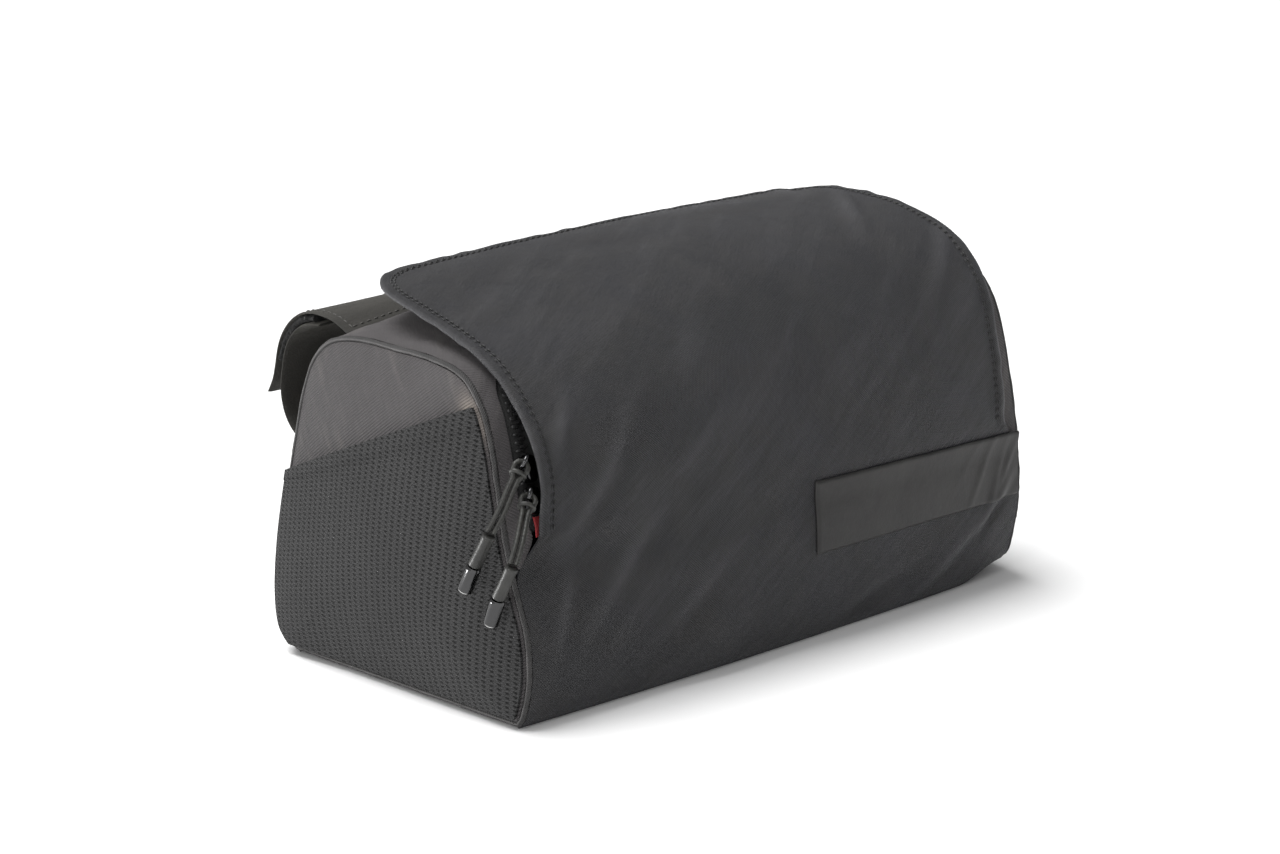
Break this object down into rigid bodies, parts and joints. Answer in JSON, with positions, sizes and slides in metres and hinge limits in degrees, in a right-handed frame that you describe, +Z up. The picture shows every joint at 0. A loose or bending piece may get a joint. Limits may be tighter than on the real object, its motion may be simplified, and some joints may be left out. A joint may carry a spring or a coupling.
{
  "type": "bicycle handlebar bag",
  "caption": "Soft boxy handlebar bag: a front panel that runs over the top as a loose flap, domed ends with mesh pockets, a closed zip with cord pulls, and looped bar straps on the back.",
  "frame": {"origin": "middle of the flat base, on the surface that the bag stands on", "axes": "+X along the bag from the zip pulls' end to the other end, -Y towards the front panel, +Y towards the bar straps, +Z up"},
  "size_m": [0.249, 0.1487, 0.1287],
  "materials": {
    "front_cloth": "charcoal coated twill, soft sheen",
    "body_cloth": "warm grey matt weave",
    "pocket_mesh": "dark stretch mesh",
    "seam_binding": "rolled cloth binding",
    "zip_tape_cloth": "black woven tape",
    "zip_teeth_nylon": "black nylon coil",
    "end_tab_cloth": "red woven ribbon",
    "pull_metal": "dark polished plating",
    "pull_cord": "dark braided cord",
    "pull_sleeve": "matt heat-shrunk sleeve",
    "band_rubber": "matt moulded rubber",
    "strap_cloth": "dark brushed loop-pile strap",
    "strap_hook_pile": "black hook pile"
  },
  "bodies": {
    "root": {"front_flap_panel": "front_cloth", "top_gusset_panel": "body_cloth", "back_panel": "body_cloth", "base_panel": "body_cloth", "end_panel_left": "body_cloth", "end_panel_right": "body_cloth", "mesh_pocket_left": "pocket_mesh", "mesh_pocket_right": "pocket_mesh", "end_seam_left": "seam_binding", "end_seam_right": "seam_binding", "zip_tape": "zip_tape_cloth", "zip_teeth": "zip_teeth_nylon", "zip_end_tab": "end_tab_cloth", "zip_slider_upper": "pull_metal", "zip_slider_lower": "pull_metal", "zip_cord_upper": "pull_cord", "zip_cord_lower": "pull_cord", "zip_sleeve_upper": "pull_sleeve", "zip_sleeve_lower": "pull_sleeve", "zip_cap_upper": "pull_metal", "zip_cap_lower": "pull_metal", "side_band": "band_rubber", "strap_outer_left": "strap_cloth", "strap_outer_right": "strap_cloth", "strap_inner_left": "strap_cloth", "strap_inner_right": "strap_cloth", "strap_hook_left": "strap_hook_pile", "strap_hook_right": "strap_hook_pile"}
  },
  "joints": []
}
